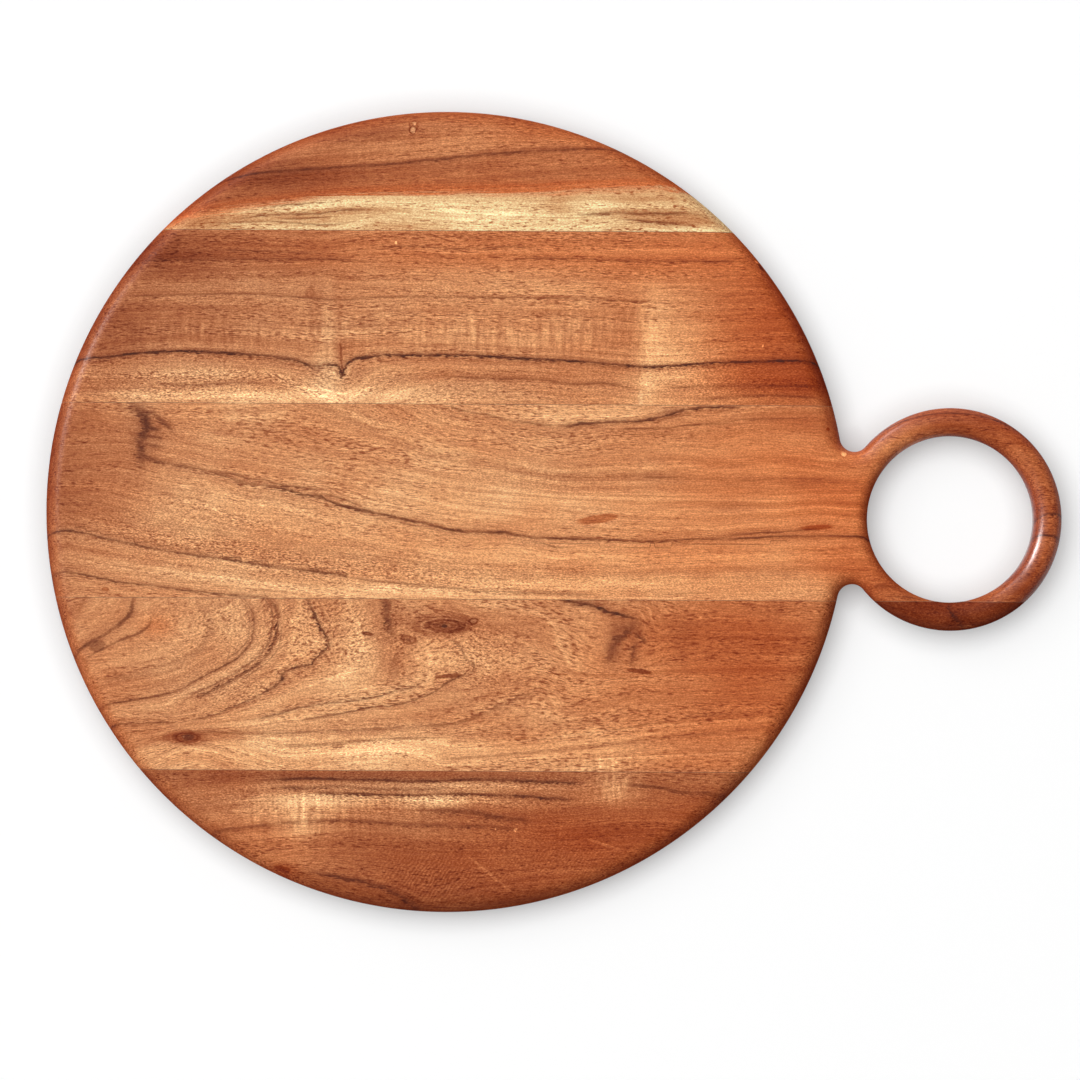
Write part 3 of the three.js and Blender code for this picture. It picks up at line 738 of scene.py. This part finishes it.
def stave_object(name, points, faces, below, above):
    """One stave of the board as a new object: what lies between the films of glue below and above it."""
    low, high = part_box(name)
    near = (points[:, 1] > low.y / MM - CUT_MARGIN) & (points[:, 1] < high.y / MM + CUT_MARGIN)
    near &= (points[:, 0] > low.x / MM - CUT_MARGIN) & (points[:, 0] < high.x / MM + CUT_MARGIN)
    kept = [face for face in faces if near[face].all()]
    used = sorted({corner for face in kept for corner in face})
    number = {corner: i for i, corner in enumerate(used)}
    mesh = bmesh.new()
    corners = [mesh.verts.new(points[corner] * MM) for corner in used]
    for face in kept:
        mesh.faces.new([corners[number[corner]] for corner in face]).smooth = True
    if below:
        cut(mesh, (0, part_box(below)[1].y, 0), (0, -1, 0))
    if above:
        cut(mesh, (0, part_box(above)[0].y, 0), (0, 1, 0))
    bmesh.ops.recalc_face_normals(mesh, faces=mesh.faces)
    data = bpy.data.meshes.new(name + "_wood")
    mesh.to_mesh(data)
    mesh.free()
    return add_to_scene(name + "_wood", data)


# The grain, worked out at each point of a mesh
def smooth_curve(points, step=1.0):
    """A curve through given points, sampled about every step."""
    points = np.asarray(points, float)
    ends = np.vstack([2 * points[0] - points[1], points, 2 * points[-1] - points[-2]])
    samples = []
    for a, b, c, d in zip(ends, ends[1:], ends[2:], ends[3:]):
        t = np.arange(0, 1, step / np.linalg.norm(c - b))[:, None]
        square = 2 * a - 5 * b + 4 * c - d
        cube = 3 * b - a - 3 * c + d
        samples.append(0.5 * (2 * b + (c - a) * t + square * t ** 2 + cube * t ** 3))
    return np.vstack(samples + [points[-1:]])


def beside(at, curve):
    """Distance of each point to a curve, signed by its side, and its fading towards the curve's ends."""
    step = np.gradient(curve, axis=0)
    step /= np.linalg.norm(step, axis=1, keepdims=True)
    along = np.concatenate([[0], np.cumsum(np.linalg.norm(np.diff(curve, axis=0), axis=1))])
    nearest = np.empty(len(at), int)
    batch = 2000
    for start in range(0, len(at), batch):
        part = at[start:start + batch]
        nearest[start:start + batch] = ((part[:, None] - curve[None]) ** 2).sum(axis=2).argmin(axis=1)
    offset = at - curve[nearest]
    direction = step[nearest]
    signed = direction[:, 0] * offset[:, 1] - direction[:, 1] * offset[:, 0]
    past_end = np.abs((direction * offset).sum(axis=1))
    taper = min(LINE_FADE, along[-1] * LINE_FADE_SHARE)
    from_end = np.minimum(along[nearest], along[-1] - along[nearest])
    fading = np.clip((from_end + LINE_END) / taper, 0, 1) * np.exp(-(past_end / LINE_END) ** 2)
    return signed, fading


def plate_field(points, values):
    """A smooth field through scattered values, as a thin plate bends through them: a function of points."""

    def bending(a, b):
        squared = ((a[:, None] - b[None]) ** 2).sum(axis=2) / GROWTH_SCALE ** 2
        return squared * np.log(squared + GROWTH_LEAST)

    def plane(at):
        return np.column_stack([np.ones(len(at)), at / GROWTH_SCALE])

    count = len(points)
    plane_terms = 3
    system = np.zeros((count + plane_terms, count + plane_terms))
    system[:count, :count] = bending(points, points) + GROWTH_GIVE * np.eye(count)
    system[:count, count:] = plane(points)
    system[count:, :count] = plane(points).T
    weights = np.linalg.solve(system, np.concatenate([values, np.zeros(plane_terms)]))

    def field(at):
        return bending(at, points) @ weights[:count] + plane(at) @ weights[count:]

    return field


def growth_of(streaks):
    """The field of growth through a stave's streaks."""
    curves = [smooth_curve(line, GROWTH_STEP) for _, _, _, line in streaks]
    levels = [np.full(len(curve), float(streak[0])) for curve, streak in zip(curves, streaks)]
    return plate_field(np.concatenate(curves), np.concatenate(levels))


def soft_sum(at, patches, column):
    """The sum of soft-edged patches at each point, weighed by one of their columns."""
    total = np.zeros(len(at))
    for patch in patches:
        x, y, half_length, half_height = patch[:4]
        far = ((at[:, 0] - x) / half_length) ** 2 + ((at[:, 1] - y) / half_height) ** 2
        total += patch[column] * np.exp(-0.5 * far)
    return total


def line_sets(look):
    """The drawn streaks as (lean, strength, half width, curve), in sets that no close neighbours share."""
    drawn = [(look["lean"], *streak[1:]) for streak in look["streaks"] if streak[1]]
    sets = [[] for _ in range(LINE_SETS)]
    for lean, strength, width, line in drawn + look.get("leaning", []):
        curve = smooth_curve(line)
        room = []
        for chosen in sets:
            others = [other[None, ::LINE_STRIDE] for *_, other in chosen]
            gaps = [((curve[:, None] - other) ** 2).sum(axis=2).min() for other in others]
            room.append(min(gaps, default=math.inf))
        clear = [number for number, gap in enumerate(room) if gap > LINE_CLEARANCE ** 2]
        best = clear[0] if clear else int(np.argmax(room))
        sets[best].append((lean, strength, width, curve))
    return sets


def line_values(streaks, places, depth):
    """How far each point lies beside the nearest line of a set, in half widths, and how dark that is."""
    line = np.full(len(places), NO_LINE)
    dark = np.zeros(len(places))
    nearest = np.full(len(places), NO_LINE)
    for lean, strength, half_width, curve in streaks:
        leaning = np.column_stack([places[:, 0], places[:, 1] + lean * depth])
        signed, fading = beside(leaning, curve)
        away = np.abs(signed) / half_width + FADED_AWAY * (1 - fading)
        nearer = away < nearest
        nearest[nearer] = away[nearer]
        line[nearer] = (signed / half_width)[nearer]
        reach = max(LINE_REACH, LINE_REACH_BY_WIDTH * half_width)
        within_reach = np.clip(3 - 2 * np.abs(signed) / reach, 0, 1)
        dark[nearer] = (strength * fading * within_reach)[nearer]
    return np.clip(line, -NO_LINE, NO_LINE), dark


def vectors_of(vertices, name):
    """A vector of every vertex, one to a row."""
    flat = np.empty(len(vertices) * 3, np.float32)
    vertices.foreach_get(name, flat)
    return flat.reshape(-1, 3).astype(float)


def add_grain(data, look, tone, red):
    """Writes the stave's grain to its mesh, as a value at each point for every name below."""
    places = vectors_of(data.vertices, "co") / MM
    normals = vectors_of(data.vertices, "normal")
    depth = THICKNESS - places[:, 2]
    at = np.column_stack([places[:, 0], places[:, 1] + look["lean"] * depth])

    def area(name, column=WEIGHT_COLUMN):
        return soft_sum(at, look.get(name, []), column)

    steep = (1 - np.abs(normals[:, 2]) - STEEP_FROM) / (STEEP_TO - STEEP_FROM)
    values = {
        "ring": growth_of(look["streaks"])(at),
        "tone": tone + area("patches"),
        "red": red + area("patches", RED_COLUMN),
        "figure": area("figures"),
        "dots": np.clip(area("dots"), 0, 1),
        "open": np.clip(1 - area("silky"), LEAST_OPEN, 1),
        "curls": area("curls"),
        "polish": np.clip(area("polished"), 0, 1),
        "steep": np.clip(steep, 0, 1),
        "rim": normals[:, 0] ** 2,
        # painted shade, darker and redder down the round-overs
        "painted_edge_shade": np.clip(np.minimum(depth, places[:, 2]) / PAINTED_SHADE_HEIGHT, 0, 1),
    }
    if "sap_edge" in look:
        values["sap"] = -beside(at, smooth_curve(look["sap_edge"]))[0]
        values["sap_tone"] = area("sap_patches")
    for number, streaks in enumerate(line_sets(look)):
        line, dark = line_values(streaks, places, depth)
        values["line_%d" % number] = line
        values["dark_%d" % number] = dark
    for name, value in values.items():
        attribute = data.attributes.new(name, "FLOAT", "POINT")
        attribute.data.foreach_set("value", value.astype(np.float32))


# Materials
class Graph:
    """Short names for the nodes of a material or of the world."""

    def __init__(self, owner):
        owner.use_nodes = True
        self.tree = owner.node_tree

    def node(self, kind, **settings):
        made = self.tree.nodes.new(kind)
        for key, value in settings.items():
            setattr(made, key, value)
        return made

    def put(self, socket, value):
        if isinstance(value, bpy.types.NodeSocket):
            self.tree.links.new(value, socket)
        else:
            socket.default_value = value

    def fill(self, made, **values):
        """Puts values on the sockets of a node, with _ for the spaces in their names."""
        for name, value in values.items():
            self.put(made.inputs[name.replace("_", " ")], value)

    def math(self, operation, *values):
        made = self.node("ShaderNodeMath", operation=operation)
        for socket, value in zip(made.inputs, values):
            self.put(socket, value)
        return made.outputs[0]

    def product(self, first, *others):
        for other in others:
            first = self.math("MULTIPLY", first, other)
        return first

    def vector(self, operation, *values):
        made = self.node("ShaderNodeVectorMath", operation=operation)
        for socket, value in zip(made.inputs, values):
            self.put(socket, value)
        return made.outputs["Value" if operation in ("LENGTH", "DOT_PRODUCT") else "Vector"]

    def value(self, name):
        return self.node("ShaderNodeAttribute", attribute_name=name).outputs["Fac"]

    def place(self):
        """Where a point lies on the board, in millimetres."""
        return self.vector("MULTIPLY", self.node("ShaderNodeTexCoord").outputs["Object"], (1 / MM,) * 3)

    def turned(self, place, turn, scale=(1, 1, 1)):
        made = self.node("ShaderNodeMapping")
        self.fill(made, Vector=place, Rotation=turn, Scale=scale)
        return made.outputs["Vector"]

    def noise(self, place, scale, detail, roughness=0.5, distortion=0.0):
        """A noise about 0, from about -0.5 to 0.5, of so many cells a millimetre each way."""
        made = self.node("ShaderNodeTexNoise")
        self.fill(made, Vector=self.turned(place, NOISE_TURN, scale), Scale=1.0, Detail=detail,
                  Roughness=roughness, Distortion=distortion)
        return self.math("SUBTRACT", made.outputs["Fac"], 0.5)

    def between(self, value, start, end):
        """A smooth step from 0 at start to 1 at end."""
        made = self.node("ShaderNodeMapRange", interpolation_type="SMOOTHSTEP")
        rising = start < end
        self.fill(made, Value=value, From_Min=min(start, end), From_Max=max(start, end),
                  To_Min=0.0 if rising else 1.0, To_Max=1.0 if rising else 0.0)
        return made.outputs["Result"]

    def ranged(self, share, low, high):
        """A share from 0 to 1, spread from low to high."""
        return self.math("MULTIPLY_ADD", share, high - low, low)

    def total(self, terms):
        """The sum of (value, weight) terms."""
        result = 0.0
        for value, weight in terms:
            result = self.math("MULTIPLY_ADD", value, weight, result)
        return result

    def terms(self, layers, weights):
        """The layers that have a weight, each with it. A name that isn't a layer is a value of the mesh."""
        return [(layers[name] if name in layers else self.value(name), weight)
                for name, weight in weights.items()]

    def weighed(self, layers, weights):
        return self.total(self.terms(layers, weights))

    def mix(self, share, a, b):
        made = self.node("ShaderNodeMix", data_type="RGBA")
        self.put(made.inputs["Factor"], share)
        for socket, value in zip(MIXED_COLORS, (a, b)):
            self.put(made.inputs[socket], (*value, 1.0) if isinstance(value, tuple) else value)
        return made.outputs[MIXED_RESULT]

    def power(self, color, exponent):
        made = self.node("ShaderNodeGamma")
        self.fill(made, Color=(*color, 1.0), Gamma=exponent)
        return made.outputs["Color"]

    def tinted(self, color, tone, red):
        """A colour made so many steps darker and redder."""
        change = self.vector("MULTIPLY", self.power(DARKER, tone), self.power(REDDER, red))
        return self.vector("MULTIPLY", change, color)


def texture_layers(graph, place):
    """The layers of the wood's even texture by name, each a number at every point."""
    axes = graph.node("ShaderNodeSeparateXYZ")
    graph.put(axes.inputs[0], place)

    def following(share):
        """Places that bend across the grain with the growth, by a share."""
        across = graph.total([(axes.outputs["Y"], 1 - share), (graph.value("ring"), share)])
        made = graph.node("ShaderNodeCombineXYZ")
        graph.fill(made, X=axes.outputs["X"], Y=across, Z=axes.outputs["Z"])
        return made.outputs["Vector"]

    places = {"board": place, "vessels": following(VESSEL_BEND), "growth": following(1.0)}
    layers = {"all": 1.0}
    for name, (followed, *noise) in NOISES.items():
        layers[name] = graph.noise(places[followed], *noise)
    dots = graph.value("dots")
    layers["coarse"] = graph.product(layers["speck"], dots)
    flecks = graph.total([(layers["dashes"], graph.math("SUBTRACT", 1.0, dots)), (layers["points"], dots)])
    patchy = graph.ranged(graph.between(layers["patchy"], *PATCHY_STEP), LEAST_FLECKS, 1.0)
    layers["flecks"] = graph.product(flecks, patchy, graph.value("open"))
    layers["pores"] = graph.between(layers["flecks"], *PORE_STEP)
    layers["ripple"] = graph.product(layers["ripple"], graph.value("figure"))
    wave = graph.node("ShaderNodeTexWave", wave_type="BANDS", bands_direction="X")
    graph.put(wave.inputs["Vector"], graph.turned(place, (0, 0, CURL_TURN)))
    for name, value in CURL.items():
        graph.put(wave.inputs[name], value)
    bands = graph.math("SUBTRACT", wave.outputs["Fac"], 0.5)
    layers["curl"] = graph.product(bands, graph.value("curls"))
    return layers


def line_layer(graph, layers):
    """How dark the drawn lines are at each point: a worn core in a soft halo."""
    worn = graph.ranged(graph.between(layers["worn"], *WORN_STEP), LEAST_LINE, 1.0)
    lines = 0.0
    for number in range(LINE_SETS):
        away = graph.weighed(layers, {"line_%d" % number: 1.0, **LINE_ROUGH})
        away = graph.math("ABSOLUTE", away)
        core = graph.product(graph.between(away, *CORE_STEP), worn)
        halo = graph.product(graph.between(away, *HALO_STEP), HALO)
        shade = graph.product(graph.math("MAXIMUM", core, halo), graph.value("dark_%d" % number))
        lines = graph.math("MAXIMUM", lines, shade)
    return lines


def add_knots(graph, place, look, tones, reds, greys):
    """Adds the look's eyes and spots to the terms of tone, redness and grey."""
    noise = graph.node("ShaderNodeTexNoise")
    graph.fill(noise, Vector=place, Scale=SPOT_DRIFT_SCALE)
    drift = graph.vector("SUBTRACT", noise.outputs["Color"], (0.5, 0.5, 0.5))
    drifted = graph.vector("MULTIPLY_ADD", drift, SPOT_DRIFT, place)

    def from_centre(x, y, half_length, half_height, turn):
        """How far a point lies from the centre of an ellipse, which is 1 on its outline."""
        spot = graph.node("ShaderNodeMapping", vector_type="TEXTURE")
        graph.fill(spot, Vector=drifted, Location=(x, y, THICKNESS), Rotation=(0, 0, math.radians(turn)),
                   Scale=(half_length, half_height, SPOT_DEPTH))
        return graph.vector("LENGTH", spot.outputs["Vector"])

    for *ellipse, outline, width, fill, red in look.get("eyes", []):
        away = from_centre(*ellipse)
        from_outline = graph.math("ABSOLUTE", graph.math("SUBTRACT", away, 1.0))
        within = graph.between(away, *EYE_STEP)
        tones += [(graph.between(from_outline, width, EYE_CORE * width), outline), (within, fill)]
        reds.append((within, red))
    for *ellipse, tone, red, grey in look.get("spots", []):
        share = graph.between(from_centre(*ellipse), *SPOT_STEP)
        tones.append((share, tone))
        reds.append((share, red))
        if grey:
            greys.append((share, SPOT_GREY * grey))


def wood_material(name, look):
    """Oiled wood: heartwood with its grain, lines and knots, and sapwood beyond its edge, if it has one."""
    material = bpy.data.materials.new(name)
    graph = Graph(material)
    place = graph.place()
    layers = texture_layers(graph, place)
    layers["lines"] = line_layer(graph, layers)
    tones = graph.terms(layers, HEART_TONES) + [(layers["pores"], look["pores"])]
    reds = graph.terms(layers, HEART_REDS)
    greys = [(layers["lines"], LINE_GREY)]
    add_knots(graph, place, look, tones, reds, greys)
    if "sap_edge" in look:
        edge = graph.weighed(layers, SAP_EDGE)
        glow = graph.between(edge, *SAP_GLOW_STEP)
        tones.append((glow, SAP_GLOW_TONE))
        reds.append((glow, SAP_GLOW_RED))
    color = graph.tinted(HEARTWOOD, graph.total(tones), graph.total(reds))
    if "sap_edge" in look:
        sap_tone = graph.weighed(layers, SAP_TONES)
        pale = graph.tinted(SAPWOOD, sap_tone, graph.math("ADD", sap_tone, SAP_RED))
        color = graph.mix(graph.between(edge, *SAP_STEP), color, pale)
    color = graph.mix(graph.math("MINIMUM", graph.total(greys), 1.0), color, STREAK)

    bump = graph.node("ShaderNodeBump")
    graph.fill(bump, Strength=GRAIN_BUMP, Distance=GRAIN_HEIGHT, Height=graph.weighed(layers, HEIGHT))
    shader = graph.tree.nodes["Principled BSDF"]
    graph.fill(shader, Base_Color=color, Roughness=graph.weighed(layers, ROUGHNESS),
               Normal=bump.outputs["Normal"], Specular_IOR_Level=OIL_GLOSS)
    if "polished" in look:
        graph.fill(shader, Coat_Weight=graph.value("polish"), Coat_Roughness=POLISH_ROUGHNESS)
    return material


def glue_material():
    """Cured glue in the seams, dark with what it has taken up from the wood."""
    material = bpy.data.materials.new("glue")
    graph = Graph(material)
    cloud = graph.between(graph.noise(graph.place(), *GLUE_NOISE), *GLUE_STEP)
    shader = graph.tree.nodes["Principled BSDF"]
    graph.fill(shader, Base_Color=graph.mix(cloud, GLUE_DARK, GLUE_LIGHT), Roughness=GLUE_ROUGHNESS)
    return material


def floor_material():
    """A matt floor with a fill that only what looks at it sees, fading near the board into painted shade.
    """
    material = bpy.data.materials.new("floor")
    graph = Graph(material)
    nodes = graph.tree.nodes
    nodes.remove(nodes["Principled BSDF"])
    matt = graph.node("ShaderNodeBsdfDiffuse")
    graph.put(matt.inputs["Color"], FLOOR_COLOR)
    path = graph.node("ShaderNodeLightPath").outputs
    seen = graph.math("MAXIMUM", path["Is Camera Ray"], path["Is Glossy Ray"])
    seen = graph.math("MAXIMUM", seen, path["Is Transmission Ray"])
    # Painted shade: the fill dims where the board hides the space nearby
    painted_shade = graph.node("ShaderNodeAmbientOcclusion")
    graph.put(painted_shade.inputs["Distance"], FLOOR_SHADE_REACH)
    fill = graph.ranged(painted_shade.outputs["AO"], FLOOR_LIFT * (1 - FLOOR_SHADE), FLOOR_LIFT)
    lift = graph.node("ShaderNodeEmission")
    graph.put(lift.inputs["Strength"], graph.product(seen, fill))
    both = graph.node("ShaderNodeAddShader")
    graph.put(both.inputs[0], matt.outputs[0])
    graph.put(both.inputs[1], lift.outputs[0])
    graph.put(nodes["Material Output"].inputs["Surface"], both.outputs[0])
    return material


# The stage
def add_floor():
    """A disc with a round opening under the board, a hair lower than the board's underside."""
    turns = np.linspace(0, 2 * math.pi, FLOOR_CORNERS, endpoint=False)
    circle = np.column_stack([np.cos(turns), np.sin(turns), np.zeros(FLOOR_CORNERS)])
    corners = np.vstack([FLOOR_OPENING * circle, FLOOR_REACH * circle]) - (0, 0, FLOOR_DROP)
    first = np.arange(FLOOR_CORNERS)
    following = np.roll(first, -1)
    quads = np.column_stack([first, first + FLOOR_CORNERS, following + FLOOR_CORNERS, following])
    data = bpy.data.meshes.new("floor")
    data.from_pydata(corners.tolist(), [], quads.tolist())
    data.materials.append(floor_material())
    floor = add_to_scene("floor", data)


def add_lamp(name, toward, rise, spread, level):
    """A round lamp that faces the board from a direction."""
    data = bpy.data.lights.new(name, "AREA")
    data.shape = "DISK"
    data.size = 2 * LAMP_DISTANCE * math.tan(math.radians(spread))
    data.energy = level * (math.pi * LAMP_DISTANCE) ** 2
    made = add_to_scene(name, data)
    around = math.radians(toward)
    up = math.radians(rise)
    ray = Vector((math.cos(up) * math.cos(around), math.cos(up) * math.sin(around), math.sin(up)))
    made.location = LAMP_DISTANCE * ray
    made.rotation_euler = ray.to_track_quat("Z", "Y").to_euler()
    return made


def add_sky():
    """A soft sky, brighter on the key's side, and dark overhead so that the flat top doesn't mirror it."""
    world = bpy.data.worlds.new("sky")
    graph = Graph(world)
    direction = graph.node("ShaderNodeTexCoord").outputs["Generated"]
    key_side = (math.cos(math.radians(KEY[0])), math.sin(math.radians(KEY[0])), 0)
    toward_key = graph.between(graph.vector("DOT_PRODUCT", direction, key_side), *SKY_STEP)
    upward = graph.between(graph.vector("DOT_PRODUCT", direction, (0, 0, 1)), *ZENITH_STEP)
    strength = graph.product(graph.ranged(toward_key, SKY_BEHIND, SKY), graph.ranged(upward, 1.0, ZENITH))
    graph.fill(graph.tree.nodes["Background"], Color=(1.0, 1.0, 1.0, 1.0), Strength=strength)
    bpy.context.scene.world = world


def add_camera():
    """The camera, high above the board with a long lens."""
    data = bpy.data.cameras.new("camera")
    data.lens = LENS
    data.sensor_width = SENSOR
    data.clip_end = VIEW_END
    eye = add_to_scene("camera", data)
    eye.location = VIEW_CENTRE + Vector((0, 0, THICKNESS * MM / 2 + VIEW_WIDTH * LENS / SENSOR))
    eye.rotation_euler = (0, 0, VIEW_ROLL)
    bpy.context.scene.camera = eye


# The pieces
board_points, board_faces = whole_board()
for stave, (look, below, above, stave_tone, stave_red) in STAVES.items():
    piece = stave_object(stave, board_points, board_faces, below, above)
    add_grain(piece.data, look, stave_tone, stave_red)
    piece.data.materials.append(wood_material(stave + "_wood", look))
    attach(piece, "root")
    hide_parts(stave)

glue = glue_material()
for name, node in frame["nodes"].items():
    if name.startswith("glue_film"):
        node.data.materials.clear()
        node.data.materials.append(glue)

for entry in frame["record"]["subparts"]:
    piece = bpy.data.objects.get(entry["node"] + "_wood")

add_floor()
add_lamp("key", *KEY).visible_glossy = False
for gleam, values in GLEAMS.items():
    add_lamp(gleam, *values).visible_diffuse = False
add_sky()
add_camera()
bpy.context.scene.view_settings.view_transform = "Standard"
